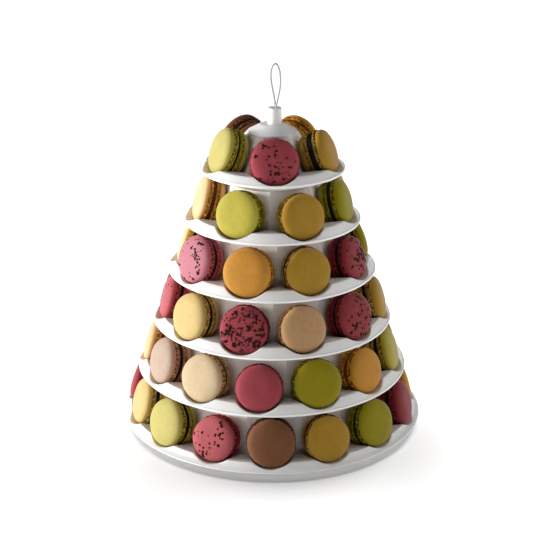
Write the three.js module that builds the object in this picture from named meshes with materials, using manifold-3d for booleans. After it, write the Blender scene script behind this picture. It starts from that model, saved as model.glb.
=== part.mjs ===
// A pyramid of macarons on a white stand of six stacked trays, lifted by a wire loop.
// Units are millimetres, +Z is up and -Y is the front. The origin is the middle of
// the face that the stand rests on.
import * as THREE from 'three';
import { mergeVertices } from 'three/addons/utils/BufferGeometryUtils.js';
import Module from 'manifold-3d';

const wasm = await Module();
wasm.setup();

// ---- driving dimensions -----------------------------------------------------------

const TRAYS = 6; // tray 1 is the highest
const BASE_RADIUS = 125; // rim of the lowest tray
const RADIUS_STEP = 13.25; // each tray is this much smaller than the one below
const TRAY_PITCH = 42.1; // from rim to rim
const TOP_COUNT = 5; // macarons on the highest tray
const COUNT_STEP = 2; // further macarons on each tray below

const MACARON_RADIUS = 18.9;
const MACARON_HALF = 11.7; // from the middle plane to the top of a dome
const FACE_OFFSET = 5; // from the middle plane to where a shell meets its foot
const FACE_INSET = 14; // from the rim in to the middle of that meeting line
const FACE_RISE = 19; // from the rim up to the same point
const LEAN = 17; // degrees that a macaron leans back
const TOP_INSET = 17; // these three again, on the highest tray
const TOP_RISE = 16.8;
const TOP_LEAN = 22;

// A shell's profile, as shares of the macaron's radius and half thickness.
const WAIST = 0.91; // radius of the filling, at the middle plane
const EDGE_HEIGHT = 0.48;
const SHOULDER_RADIUS = 0.77;
const SHOULDER_HEIGHT = 0.88;

const SLOT_RADIUS = 21.6;
const SLOT_GAP = 0.4; // between a macaron's back and the hub
const REST_GAP = 0.4; // between a macaron's edge and the bottom of its slot
const TRAY_WALL = 2; // left under the bottom of a slot
const RIM_LIP = 1.5; // height of a rim's upright edge
const LEDGE_INSET = 6; // from the rim in to the edge of the ledge
const LEDGE_RISE = 8; // from the rim up to the ledge
const BASE_LEDGE_RISE = 6.5;

const CAP_RISE = 31; // from the highest rim up to the cap's edge
const CAP_RADIUS = 20;
const CAP_EDGE = 1;
const CAP_TOP_RADIUS = 9.5;
const CAP_HEIGHT = 5.5;
const SHOULDER_FALL = 6; // the hub's ridges are cut off from the cap's edge to here
const SHOULDER_REACH = 5.4; // and this much further out

const GRIP_OFFSET = 1.8; // the grip stands a little to the right of the axis
const GRIP_RADIUS = 5.6;
const GRIP_HEIGHT = 12.7;
const GRIP_BEVEL = 0.7;
const BORE_RADIUS = 2.7;
const BORE_DEPTH = 5;

const LOOP_OFFSET = 2.4; // the loop leans further to the right than its grip
const LOOP_HEIGHT = 36.5; // from the grip's top to the top of the loop
const LOOP_HALF_WIDTH = 4; // at the wire's middle line
const WIRE_RADIUS = 0.82;
const TOUCH_GAP = 0.3; // between pieces that rest on each other

// ---- what lies on the trays -------------------------------------------------------

function finish(color, roughness) {
  return new THREE.MeshStandardMaterial({ color, roughness, metalness: 0 });
}

const WHITE = finish('#e9e8e6', 0.35);
const WIRE = finish('#b3b1af', 0.4);
const SHELLS = {
  raspberry: finish('#a34655', 0.75),
  cherry: finish('#7a3238', 0.75),
  lime: finish('#b9b453', 0.75),
  pistachio: finish('#8a8430', 0.75),
  caramel: finish('#9a7a35', 0.75),
  orange: finish('#c28c3c', 0.75),
  lemon: finish('#dfc176', 0.75),
  biscuit: finish('#bf9f75', 0.75),
  blush: finish('#d5b09a', 0.75),
  cocoa: finish('#6f4d3b', 0.75),
};

// From the highest tray to the lowest: the angle of the first macaron, 0 at the front
// and growing to the right, and the flavours from there on round the tray.
const FILLINGS = [
  { start: 2.9, flavours: ['raspberry', 'caramel', 'orange', 'cocoa', 'lime'] },
  {
    start: 23.2,
    flavours: ['caramel', 'pistachio', 'biscuit', 'raspberry', 'cocoa', 'orange', 'lime'],
  },
  {
    start: -15.6,
    flavours: [
      'orange', 'caramel', 'cherry', 'pistachio', 'lemon',
      'cocoa', 'lime', 'lemon', 'raspberry',
    ],
  },
  {
    start: 17,
    flavours: [
      'biscuit', 'cherry', 'caramel', 'orange', 'lime', 'blush',
      'pistachio', 'cocoa', 'raspberry', 'lemon', 'raspberry',
    ],
  },
  {
    start: -5.9,
    flavours: [
      'raspberry', 'pistachio', 'orange', 'lemon', 'caramel', 'blush', 'cocoa',
      'lime', 'raspberry', 'biscuit', 'orange', 'blush', 'biscuit',
    ],
  },
  {
    start: 0,
    flavours: [
      'cocoa', 'caramel', 'pistachio', 'cherry', 'orange', 'lemon', 'lemon', 'biscuit',
      'biscuit', 'lime', 'lime', 'raspberry', 'lemon', 'lime', 'raspberry',
    ],
  },
];

// On the back of the lowest tray, each of these macarons leans on the next one and is
// one solid with it.
const LEANING = [5, 7, 9];
const LEANING_RADIUS = 19.7;
const LEANING_SHIFT = 1.1; // degrees that each slides round the tray to the other

// The other macarons differ from the mean radius and half thickness by these, in turn.
const RADIUS_CYCLE = [0, 0.3, -0.5, 0.4, -0.2, 0.6, -0.4];
const HALF_CYCLE = [0, -0.6, 0.3, 0.6, -0.3];

// ---- helpers ----------------------------------------------------------------------

const radians = THREE.MathUtils.degToRad;

// A profile of [radius, height] pairs, turned about +Z from the angle given.
function turned(profile, segments, from = 0) {
  const points = profile.map(([r, z]) => new THREE.Vector2(r, z));
  return new THREE.LatheGeometry(points, segments, from).rotateX(Math.PI / 2);
}

function toSolid(geometry) {
  const plain = new THREE.BufferGeometry();
  plain.setAttribute('position', geometry.getAttribute('position'));
  plain.setIndex(geometry.getIndex());
  const merged = mergeVertices(plain);
  const triangles = [];
  const index = merged.getIndex().array;
  for (let i = 0; i < index.length; i += 3) {
    const [a, b, c] = index.slice(i, i + 3);
    if (a !== b && b !== c && c !== a) triangles.push(a, b, c);
  }
  return new wasm.Manifold(new wasm.Mesh({
    numProp: 3,
    vertProperties: new Float32Array(merged.getAttribute('position').array),
    triVerts: new Uint32Array(triangles),
  }));
}

function toGeometry(solid) {
  const mesh = solid.getMesh();
  const geometry = new THREE.BufferGeometry();
  geometry.setAttribute('position', new THREE.BufferAttribute(mesh.vertProperties, 3));
  geometry.setIndex(new THREE.BufferAttribute(mesh.triVerts, 1));
  geometry.computeVertexNormals();
  return geometry;
}

function named(name, geometry, material) {
  const mesh = new THREE.Mesh(geometry, material);
  mesh.name = name;
  return mesh;
}

// ---- layout -----------------------------------------------------------------------

// Every tray is worked out from its number, 0 for the highest. In a slot, "out" is the
// distance from the axis and "up" is the height over the rim.
function planTray(number) {
  const below = TRAYS - 1 - number;
  const count = TOP_COUNT + COUNT_STEP * number;
  const radius = BASE_RADIUS - RADIUS_STEP * below;
  const highest = number === 0;
  const inset = highest ? TOP_INSET : FACE_INSET;
  const rise = highest ? TOP_RISE : FACE_RISE;
  const lean = radians(highest ? TOP_LEAN : LEAN);
  return {
    number,
    below,
    count,
    radius,
    inset,
    lean,
    cell: (2 * Math.PI) / count,
    start: radians(FILLINGS[number].start),
    out: radius - inset - FACE_OFFSET * Math.cos(lean),
    up: rise - FACE_OFFSET * Math.sin(lean),
    highest,
    lowest: number === TRAYS - 1,
  };
}

// The point at a distance along a macaron's axis from its middle plane, and at a
// distance across the axis, which points up and back.
function slotPoint(plan, along, across) {
  return [
    plan.out + along * Math.cos(plan.lean) - across * Math.sin(plan.lean),
    plan.up + along * Math.sin(plan.lean) + across * Math.cos(plan.lean),
  ];
}

// The underside runs parallel to the slots' bottoms, a wall's thickness below them.
function bellyPoint(plan) {
  return slotPoint(plan, -MACARON_HALF, -(MACARON_RADIUS + REST_GAP + TRAY_WALL));
}

const plans = Array.from({ length: TRAYS }, (_, number) => planTray(number));
const [, BASE_BELLY] = bellyPoint(plans[TRAYS - 1]);
for (const plan of plans) plan.rim = -BASE_BELLY + TRAY_PITCH * plan.below;

// The angle of a slot and its macaron.
function angleOf(plan, index) {
  let shift = 0;
  if (plan.lowest && LEANING.includes(index)) shift = LEANING_SHIFT;
  if (plan.lowest && LEANING.includes(index - 1)) shift = -LEANING_SHIFT;
  return plan.start + index * plan.cell + radians(shift);
}

// Turns what is built about a macaron's axis, with its face towards +Z, into its slot.
function seat(plan, angle, across = 0, along = 0) {
  const [out, up] = slotPoint(plan, along, across);
  return new THREE.Matrix4().makeRotationZ(angle)
    .multiply(new THREE.Matrix4().makeTranslation(0, -out, plan.rim + up))
    .multiply(new THREE.Matrix4().makeRotationX(Math.PI / 2 - plan.lean));
}

// ---- stand ------------------------------------------------------------------------

const TRAY_SEGMENTS = [20, 24, 24, 28, 28, 32]; // from the highest to the lowest
const SLOT_SEGMENTS = 8;
const HUB_FOOT = 1; // from the bottom of a tray up to the foot of its hub
const HUB_SINK = 1.6; // a hub's top is this far up inside the tray above
const HUB_MARGIN = 0.5; // and stays this far inside its underside
const HUB_BITE = 1; // a slot is cut this far past the hub's flat, which then fills it
const CAP_SEGMENTS = 18;

// A hub has one flat behind each macaron, parallel to the macaron's back, and a ridge
// between each two flats. These are their distances from the axis.
function flatRadius(plan, up) {
  const [backOut, backUp] = slotPoint(plan, -(MACARON_HALF + SLOT_GAP), 0);
  return backOut - (up - backUp) * Math.tan(plan.lean);
}

function ridgeRadius(plan, up) {
  return flatRadius(plan, up) / Math.cos(plan.cell / 2);
}

// A tray's underside covers the top of the hub that carries it.
function bottomRadius(plan) {
  const [bellyOut, bellyUp] = bellyPoint(plan);
  if (plan.lowest) return bellyOut;
  const hubTop = ridgeRadius(plans[plan.number + 1], TRAY_PITCH + bellyUp) + HUB_MARGIN;
  const sunk = HUB_SINK / -bellyUp; // as a share of the underside's height
  return Math.max(bellyOut, (hubTop - sunk * plan.radius) / (1 - sunk));
}

function trayDisc(plan) {
  const { radius, rim } = plan;
  const [, bellyUp] = bellyPoint(plan);
  const ledge = plan.lowest ? BASE_LEDGE_RISE : LEDGE_RISE;
  const profile = [
    [0, rim + bellyUp],
    [bottomRadius(plan), rim + bellyUp],
    [radius, rim],
    [radius, rim + RIM_LIP],
    [radius - LEDGE_INSET, rim + ledge],
    [0, rim + ledge],
  ];
  return toSolid(turned(profile, TRAY_SEGMENTS[plan.number]));
}

function hub(plan) {
  const [, bellyUp] = bellyPoint(plan);
  const low = bellyUp + HUB_FOOT;
  const profile = (high) => [
    [0, plan.rim + low],
    [ridgeRadius(plan, low), plan.rim + low],
    [ridgeRadius(plan, high), plan.rim + high],
    [0, plan.rim + high],
  ];
  const flats = (high) => toSolid(
    turned(profile(high), plan.count, plan.start + plan.cell / 2),
  );
  if (plan.highest) return flats(CAP_RISE).intersect(shoulder(plan));
  const [, bellyUpAbove] = bellyPoint(plans[plan.number - 1]);
  return flats(TRAY_PITCH + bellyUpAbove + HUB_SINK);
}

// The highest hub's ridges stay inside the tray at their foot, and slope in to the cap's
// edge at their top.
function shoulder(plan) {
  const foot = plan.rim + bellyPoint(plan)[1] + HUB_FOOT;
  const edge = plan.rim + CAP_RISE;
  return toSolid(turned([
    [0, foot],
    [bottomRadius(plan), foot],
    [plan.radius, plan.rim + HUB_FOOT],
    [CAP_RADIUS + SHOULDER_REACH, edge - SHOULDER_FALL],
    [CAP_RADIUS, edge],
    [0, edge],
  ], CAP_SEGMENTS, plan.start));
}

function cap(plan) {
  const edge = plan.rim + CAP_RISE;
  return toSolid(turned([
    [0, edge - CAP_EDGE],
    [CAP_RADIUS, edge - CAP_EDGE],
    [CAP_RADIUS, edge],
    [CAP_TOP_RADIUS, edge + CAP_HEIGHT],
    [0, edge + CAP_HEIGHT],
  ], CAP_SEGMENTS, plan.start));
}

// The slot is wider than the macaron, which rests on its bottom.
function slotCutter(plan, index) {
  const back = -(MACARON_HALF + SLOT_GAP + HUB_BITE);
  const front = plan.inset + FACE_OFFSET;
  const halfFacet = Math.PI / SLOT_SEGMENTS;
  const corner = SLOT_RADIUS / Math.cos(halfFacet);
  const profile = [[0, back], [corner, back], [corner, front], [0, front]];
  const lift = SLOT_RADIUS - MACARON_RADIUS - REST_GAP;
  const cutter = turned(profile, SLOT_SEGMENTS, halfFacet);
  return toSolid(cutter.applyMatrix4(seat(plan, angleOf(plan, index), lift)));
}

function stand() {
  let body = null;
  for (const plan of plans) {
    let tray = trayDisc(plan);
    for (let i = 0; i < plan.count; i += 1) {
      tray = tray.subtract(slotCutter(plan, i));
    }
    tray = tray.add(hub(plan));
    if (plan.highest) tray = tray.add(cap(plan));
    body = body ? body.add(tray) : tray;
  }
  return named('stand', toGeometry(body), WHITE);
}

// ---- macarons ---------------------------------------------------------------------

const MACARON_SEGMENTS = 9;
const LEANING_SEGMENTS = 10; // an even number, with a corner on each side

function macaronShape(radius, half, segments) {
  const shoulder = [SHOULDER_RADIUS * radius, SHOULDER_HEIGHT * half];
  const edge = [radius, EDGE_HEIGHT * half];
  const below = ([r, z]) => [r, -z];
  const profile = [
    [0, -half], below(shoulder), below(edge),
    [WAIST * radius, 0],
    edge, shoulder, [0, half],
  ];
  return turned(profile, segments, Math.PI / 2);
}

// A macaron keeps its back near the hub and its edge on the slot's bottom.
function macaron(plan, index, radius, half, segments) {
  const place = seat(
    plan, angleOf(plan, index), radius - MACARON_RADIUS, half - MACARON_HALF,
  );
  return macaronShape(radius, half, segments).applyMatrix4(place);
}

function single(plan, index, order) {
  const radius = MACARON_RADIUS + RADIUS_CYCLE[order % RADIUS_CYCLE.length];
  const half = MACARON_HALF + HALF_CYCLE[order % HALF_CYCLE.length];
  return macaron(plan, index, radius, half, MACARON_SEGMENTS);
}

function leaningPair(plan, index) {
  const [first, second] = [index, index + 1].map((i) => toSolid(
    macaron(plan, i, LEANING_RADIUS, MACARON_HALF, LEANING_SEGMENTS),
  ));
  return toGeometry(first.add(second));
}

function macarons() {
  const group = new THREE.Group();
  let order = 0;
  for (const plan of plans) {
    const { flavours } = FILLINGS[plan.number];
    for (let i = 0; i < plan.count; i += 1) {
      const place = `${plan.number + 1}_${String(i + 1).padStart(2, '0')}`;
      const shell = SHELLS[flavours[i]];
      if (plan.lowest && LEANING.includes(i)) {
        const next = String(i + 2).padStart(2, '0');
        group.add(named(`macarons_${place}_${next}`, leaningPair(plan, i), shell));
        i += 1;
      } else {
        group.add(named(`macaron_${place}`, single(plan, i, order), shell));
      }
      order += 1;
    }
  }
  return group;
}

// ---- handle -----------------------------------------------------------------------

const GRIP_SEGMENTS = 12;
const WIRE_SIDES = 6;
const WIRE_STEPS = 24;

const gripFoot = plans[0].rim + CAP_RISE + CAP_HEIGHT + TOUCH_GAP;
const gripTop = gripFoot + GRIP_HEIGHT;

function grip() {
  const shape = turned([
    [0, gripFoot],
    [GRIP_RADIUS, gripFoot],
    [GRIP_RADIUS, gripTop - GRIP_BEVEL],
    [GRIP_RADIUS - GRIP_BEVEL, gripTop],
    [BORE_RADIUS, gripTop],
    [BORE_RADIUS, gripTop - BORE_DEPTH],
    [0, gripTop - BORE_DEPTH],
  ], GRIP_SEGMENTS).translate(GRIP_OFFSET, 0, 0);
  return named('grip', shape, WHITE);
}

// The wire's middle line: out of the bore, up one side, over the top and back down in
// front of itself. Across is a share of the half width and up a share of the height.
const LOOP_COURSE = [
  [-0.05, -0.12], [-0.02, 0.06], [-0.35, 0.28], [-0.85, 0.56], [-1, 0.78], [-0.62, 0.94],
  [0.05, 1], [0.62, 0.92], [0.96, 0.73], [1, 0.52], [0.62, 0.28], [0.18, 0.08], [0.08, -0.12],
];
const LEG_GAP = 1.05; // each leg's distance behind or before the middle

function loop() {
  const height = LOOP_HEIGHT - WIRE_RADIUS;
  const last = LOOP_COURSE.length - 1;
  const points = LOOP_COURSE.map(([across, up], i) => new THREE.Vector3(
    LOOP_OFFSET + across * LOOP_HALF_WIDTH,
    LEG_GAP * (1 - (2 * i) / last),
    gripTop + up * height,
  ));
  const section = new THREE.Shape();
  section.absarc(0, 0, WIRE_RADIUS, 0, 2 * Math.PI);
  const geometry = new THREE.ExtrudeGeometry(section, {
    steps: WIRE_STEPS,
    curveSegments: WIRE_SIDES / 2,
    extrudePath: new THREE.CatmullRomCurve3(points),
  });
  return named('loop', geometry, WIRE);
}

const tower = new THREE.Group();
tower.add(stand(), macarons(), grip(), loop());

export default tower;
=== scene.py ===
"""The looks of a macaron tower: a white stand of stacked trays, with a macaron leaning
in every slot, and a grip with a wire loop to lift it by. Plans and profiles are in
millimetres; every mesh is written in metres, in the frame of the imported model."""
import math
import random

import bpy
from mathutils import Matrix, Vector, noise


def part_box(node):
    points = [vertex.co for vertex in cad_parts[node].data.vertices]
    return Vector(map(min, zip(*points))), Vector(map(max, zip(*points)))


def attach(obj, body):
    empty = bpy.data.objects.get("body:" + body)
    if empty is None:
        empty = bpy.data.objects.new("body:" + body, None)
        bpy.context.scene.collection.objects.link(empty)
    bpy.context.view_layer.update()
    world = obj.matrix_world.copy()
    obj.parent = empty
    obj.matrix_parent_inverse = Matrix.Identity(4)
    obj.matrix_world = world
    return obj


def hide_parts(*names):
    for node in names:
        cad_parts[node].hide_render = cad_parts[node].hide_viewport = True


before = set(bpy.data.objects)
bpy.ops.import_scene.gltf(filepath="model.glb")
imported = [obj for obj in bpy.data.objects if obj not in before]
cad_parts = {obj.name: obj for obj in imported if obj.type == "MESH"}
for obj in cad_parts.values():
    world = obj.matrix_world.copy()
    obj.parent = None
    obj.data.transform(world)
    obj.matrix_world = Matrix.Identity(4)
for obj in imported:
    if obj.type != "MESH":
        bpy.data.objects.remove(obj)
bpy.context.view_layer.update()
MM = 0.001

# ---- layout of the stand ----

STAND_LOW, STAND_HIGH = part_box("stand")
BASE_RADIUS = (STAND_HIGH[0] - STAND_LOW[0]) / 2 / MM
TRAYS = 6  # tray 0 is the highest
RADIUS_STEP = 13.25
TRAY_PITCH = 42.1
TOP_COUNT = 5
COUNT_STEP = 2

MACARON_RADIUS = 18.9
MACARON_HALF = 11.7
FACE_OFFSET = 5.0  # from the middle plane to where a shell meets its foot
FACE_INSET = 14.0
FACE_RISE = 19.0
LEAN = 17.0
TOP_INSET = 17.0  # these three again, on the highest tray
TOP_RISE = 16.8
TOP_LEAN = 22.0

SLOT_RADIUS = 21.6
SLOT_GAP = 0.4
REST_GAP = 0.4
TRAY_WALL = 2.0
STARTS = [2.9, 23.2, -15.6, 17.0, -5.9, 0.0]  # angle of each tray's first macaron
LEANING = (5, 7, 9)  # on the lowest tray, each of these touches the next one
LEANING_SHIFT = 1.1
LEANING_EXTRA = 0.6  # how much wider these are

RADIUS_CYCLE = [0, 0.3, -0.5, 0.4, -0.2, 0.6, -0.4]  # added to the mean, in turn
HALF_CYCLE = [0, -0.6, 0.3, 0.6, -0.3]
# What sets a macaron apart from the usual one, by its tray and place: its radius, half
# its thickness, half its filling's, how far out the filling oozes, how much its back
# shell is lifted, how far it slides aside, drops into its slot and stands out from the
# hub, and how many degrees it is turned in its slot.
ODD_ONES = {
    (0, 0): dict(radius=19.3, drop=0.8),
    (0, 1): dict(radius=18.5, half=12.4, filling=2.3, drop=0.7),
    (0, 2): dict(slide=2.2, drop=-1.4),
    (0, 3): dict(slide=-2.0, out=0.8),
    (0, 4): dict(radius=19.5, filling=0.9, out=0.7),
    (1, 0): dict(radius=18.5, half=11.1, slide=1.0, drop=0.8),
    (1, 5): dict(half=10.4),
    (1, 6): dict(radius=19.3, drop=0.5, slide=0.4),
    (2, 0): dict(radius=19.8, drop=0.8),
    (2, 1): dict(radius=19.2, half=11.0, slide=-0.9, ooze=0.99, lift=0.8),
    (2, 2): dict(radius=18.3),
    (2, 7): dict(half=10.3),
    (2, 8): dict(radius=19.3, slide=-1.0, out=1.4, turn=6.0),
    (3, 1): dict(slide=1.1),
    (3, 9): dict(radius=19.3, out=1.2),
    (3, 10): dict(radius=19.3, slide=0.8, drop=0.6, turn=8.0),
    (4, 0): dict(drop=0.8, turn=3.0),
    (4, 1): dict(turn=-8.0),
    (4, 12): dict(radius=19.6),
    (5, 0): dict(ooze=0.99, lift=1.3, filling=1.8),
    (5, 1): dict(ooze=0.985, lift=0.6),
    (5, 13): dict(radius=19.6, out=0.8),
    (5, 14): dict(radius=18.3, half=10.7, slide=-0.5),
}


def odd(plan, index, name, usual=0.0):
    """One macaron's own value, or the usual one."""
    return ODD_ONES.get((plan.number, index % plan.count), {}).get(name, usual)


class Plan:
    """Where one tray and its macarons are. "out" is a distance from the tower's axis,
    and "up" is a height over the tray's rim."""

    def __init__(self, number):
        below = TRAYS - 1 - number
        self.number = number
        self.count = TOP_COUNT + COUNT_STEP * number
        self.radius = BASE_RADIUS - RADIUS_STEP * below
        self.highest = number == 0
        self.inset = TOP_INSET if self.highest else FACE_INSET
        self.rise = TOP_RISE if self.highest else FACE_RISE
        self.lean = math.radians(TOP_LEAN if self.highest else LEAN)
        self.cell = 2 * math.pi / self.count
        self.start = math.radians(STARTS[number])
        self.out = self.radius - self.inset - FACE_OFFSET * math.cos(self.lean)
        self.up = self.rise - FACE_OFFSET * math.sin(self.lean)
        self.lowest = number == TRAYS - 1
        self.belly_out, self.belly_up = self.slot_point(
            -MACARON_HALF, -(MACARON_RADIUS + REST_GAP + TRAY_WALL))
        self.rim = TRAY_PITCH * below

    def slot_point(self, along, across):
        """The point at a distance along a macaron's axis from its middle plane, and at
        a distance across the axis, which points up and back."""
        out = self.out + along * math.cos(self.lean) - across * math.sin(self.lean)
        up = self.up + along * math.sin(self.lean) + across * math.cos(self.lean)
        return out, up

    def angle(self, index):
        shift = 0.0
        if self.lowest and index in LEANING:
            shift = LEANING_SHIFT
        if self.lowest and index - 1 in LEANING:
            shift = -LEANING_SHIFT
        return self.start + index * self.cell + math.radians(shift)

    def seat(self, index, across=0.0, along=0.0):
        """Turns what is built about a macaron's axis, face towards +Z, into its slot."""
        out, up = self.slot_point(along, across)
        return (Matrix.Rotation(self.angle(index), 4, "Z")
                @ Matrix.Translation((0, -out, self.rim + up))
                @ Matrix.Rotation(math.pi / 2 - self.lean, 4, "X"))


plans = [Plan(number) for number in range(TRAYS)]
BASE_BELLY = plans[-1].belly_up
for plan in plans:
    plan.rim -= BASE_BELLY

# ---- small helpers ----


def soft_min(a, b, blend):
    """The lesser of two numbers, rounded over where they cross."""
    share = max(blend - abs(a - b), 0.0) / blend
    return min(a, b) - share * share * blend / 4


def soft_max(a, b, blend):
    return -soft_min(-a, -b, blend)


def mix(a, b, share):
    return a + (b - a) * share


def smooth(low, high, value):
    share = min(max((value - low) / (high - low), 0.0), 1.0)
    return share * share * (3 - 2 * share)


def new_piece(name, points, faces, materials, kinds=None):
    """A smooth-shaded object from points in millimetres."""
    mesh = bpy.data.meshes.new(name)
    mesh.from_pydata([(x * MM, y * MM, z * MM) for x, y, z in points], [], faces)
    for material in materials:
        mesh.materials.append(material)
    if kinds:
        mesh.polygons.foreach_set("material_index", kinds)
    mesh.polygons.foreach_set("use_smooth", [True] * len(faces))
    mesh.update()
    piece = bpy.data.objects.new(name, mesh)
    bpy.context.scene.collection.objects.link(piece)
    return piece


def add_attribute(piece, name, values):
    layer = piece.data.attributes.new(name, "FLOAT", "POINT")
    layer.data.foreach_set("value", values)


def ring_faces(rows, columns):
    """Faces between closed rings of points, with a pole point before and after."""
    last = 1 + rows * columns
    faces = [(0, 1 + (c + 1) % columns, 1 + c) for c in range(columns)]
    for row in range(rows - 1):
        low = 1 + row * columns
        for c in range(columns):
            d = (c + 1) % columns
            faces.append((low + c, low + d, low + columns + d, low + columns + c))
    low = 1 + (rows - 1) * columns
    faces += [(low + c, low + (c + 1) % columns, last) for c in range(columns)]
    return faces


def sharpen(piece, degrees):
    """Keeps edges crisp where the surface turns by more than the angle."""
    piece.data.set_sharp_from_angle(angle=math.radians(degrees))


# ---- shader groups ----


# Scales of the patterns, in repeats per metre.
FINE_SCALE = 1500
BROAD_SCALE = 520
MOTTLE_SCALE = 75
FRECKLE_SCALE = 620
SMEAR_SCALE = 26
WAVE_SCALE = 55
BLISTER_SCALE = 560
PATCH_SCALE = 420
CRUST_SCALE = 1700


def new_group(name, settings, outputs):
    """A node group that is given a place and some settings, and its two ends."""
    tree = bpy.data.node_groups.new(name, "ShaderNodeTree")
    tree.interface.new_socket("Vector", in_out="INPUT", socket_type="NodeSocketVector")
    for label in settings:
        tree.interface.new_socket(label, in_out="INPUT", socket_type="NodeSocketFloat")
    for label in outputs:
        tree.interface.new_socket(label, in_out="OUTPUT", socket_type="NodeSocketFloat")
    return tree, tree.nodes.new("NodeGroupInput"), tree.nodes.new("NodeGroupOutput")


def give(tree, gives, **values):
    for label, value in values.items():
        tree.links.new(value, gives.inputs[label])


def noise_at(tree, given, scale, detail, roughness):
    """Noise at the place that the group is given."""
    node = tree.nodes.new("ShaderNodeTexNoise")
    node.inputs["Scale"].default_value = scale
    node.inputs["Detail"].default_value = detail
    node.inputs["Roughness"].default_value = roughness
    tree.links.new(given.outputs["Vector"], node.inputs["Vector"])
    return node.outputs["Fac"]


def cells_at(tree, given, scale):
    """How far the place is from the nearest of many scattered dots."""
    node = tree.nodes.new("ShaderNodeTexVoronoi")
    node.inputs["Scale"].default_value = scale
    tree.links.new(given.outputs["Vector"], node.inputs["Vector"])
    return node.outputs["Distance"]


def maths(tree, operation, first, second, clamp=False):
    node = tree.nodes.new("ShaderNodeMath")
    node.operation = operation
    node.use_clamp = clamp
    for place, value in enumerate((first, second)):
        if isinstance(value, (int, float)):
            node.inputs[place].default_value = value
        else:
            tree.links.new(value, node.inputs[place])
    return node.outputs[0]


def ranged(tree, value, low, high, to_low=0.0, to_high=1.0):
    node = tree.nodes.new("ShaderNodeMapRange")
    node.inputs["From Min"].default_value = low
    node.inputs["From Max"].default_value = high
    node.inputs["To Min"].default_value = to_low
    node.inputs["To Max"].default_value = to_high
    tree.links.new(value, node.inputs["Value"])
    return node.outputs["Result"]


def mixed(tree, share, first, second):
    """Mixes two colours, each a socket or a plain (r, g, b)."""
    node = tree.nodes.new("ShaderNodeMix")
    node.data_type = "RGBA"
    tree.links.new(share, node.inputs[0])
    for place, value in ((6, first), (7, second)):
        if isinstance(value, tuple):
            node.inputs[place].default_value = (*value, 1)
        else:
            tree.links.new(value, node.inputs[place])
    return node.outputs[2]


def meringue_grain():
    """Fine almond grain and slow mottling of a baked shell, from its place in space."""
    tree, given, gives = new_group(
        "meringue_grain", ["Grain"], ["Height", "Mottle", "Freckle", "Grain"])
    fine = noise_at(tree, given, FINE_SCALE, 4, 0.65)
    broad = noise_at(tree, given, BROAD_SCALE, 4, 0.6)
    slow = noise_at(tree, given, MOTTLE_SCALE, 3, 0.55)
    dots = cells_at(tree, given, FRECKLE_SCALE)
    rough = maths(tree, "MULTIPLY", fine, given.outputs["Grain"])
    give(tree, gives,
         Height=maths(tree, "ADD", rough, broad),
         Mottle=ranged(tree, slow, 0.32, 0.68),
         Freckle=ranged(tree, dots, 0.12, 0.3, 1.0, 0.0),
         Grain=ranged(tree, broad, 0.3, 0.7))
    return tree


def plastic_wear():
    """The faint waviness and the slight smears of moulded plastic."""
    tree, given, gives = new_group("plastic_wear", [], ["Roughness", "Height", "Tint"])
    smear = noise_at(tree, given, SMEAR_SCALE, 4, 0.6)
    give(tree, gives,
         Roughness=ranged(tree, smear, 0.3, 0.7, 0.38, 0.5),
         Height=noise_at(tree, given, WAVE_SCALE, 2, 0.4),
         Tint=ranged(tree, smear, 0.35, 0.7))
    return tree


def foot_blisters():
    """Small blisters side by side, and pits where they leave room, which the foot's finish
    paints dark, partly as painted shade.
    """
    tree, given, gives = new_group("foot_blisters", [], ["Height", "Rise", "Pit"])
    cells = cells_at(tree, given, BLISTER_SCALE)
    patch = noise_at(tree, given, PATCH_SCALE, 3, 0.6)
    fine = noise_at(tree, given, CRUST_SCALE, 3, 0.6)
    gap = maths(tree, "ADD", cells, ranged(tree, patch, 0.3, 0.7, -0.22, 0.22))
    pit = ranged(tree, gap, 0.44, 0.54)
    rise = ranged(tree, cells, 0.1, 0.6, 1.0, 0.0)
    grainy = maths(tree, "ADD", rise, maths(tree, "MULTIPLY", fine, 0.5))
    give(tree, gives, Height=maths(tree, "SUBTRACT", grainy, pit), Rise=rise, Pit=pit)
    return tree


GRAIN = meringue_grain()
WEAR = plastic_wear()
BLISTERS = foot_blisters()


class Finish:
    """A material with its shader, a coordinate to hang patterns on, and short calls."""

    def __init__(self, name):
        self.material = bpy.data.materials.new(name)
        self.material.use_nodes = True
        self.tree = self.material.node_tree
        self.shader = self.tree.nodes["Principled BSDF"]
        self.place = self.tree.nodes.new("ShaderNodeTexCoord").outputs["Object"]

    def set(self, **values):
        for name, value in values.items():
            self.shader.inputs[name.replace("_", " ")].default_value = value

    def link(self, output, name):
        self.tree.links.new(output, self.shader.inputs[name])

    def group(self, tree, **values):
        node = self.tree.nodes.new("ShaderNodeGroup")
        node.node_tree = tree
        self.tree.links.new(self.place, node.inputs["Vector"])
        for name, value in values.items():
            node.inputs[name].default_value = value
        return node.outputs

    def bump(self, height, distance):
        node = self.tree.nodes.new("ShaderNodeBump")
        node.inputs["Distance"].default_value = distance * MM
        node.inputs["Strength"].default_value = 1.0
        self.tree.links.new(height, node.inputs["Height"])
        self.link(node.outputs["Normal"], "Normal")

    def attribute(self, name):
        node = self.tree.nodes.new("ShaderNodeAttribute")
        node.attribute_name = name
        return node.outputs["Fac"]


# ---- finishes ----


def rgb(text):
    """A colour given as six hex digits, made linear."""
    parts = [int(text[i:i + 2], 16) / 255 for i in (0, 2, 4)]
    return tuple(p / 12.92 if p < 0.04045 else ((p + 0.055) / 1.055) ** 2.4 for p in parts)


def scaled(colour, factor):
    return tuple(min(part * factor, 1.0) for part in colour)


def deepened(colour, power):
    """A darker and stronger shade of a colour."""
    return tuple(part ** power for part in colour)


def stronger(colour, power):
    """A more saturated shade that is just as light."""
    peak = max(colour)
    return tuple(peak * (part / peak) ** power for part in colour)


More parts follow.
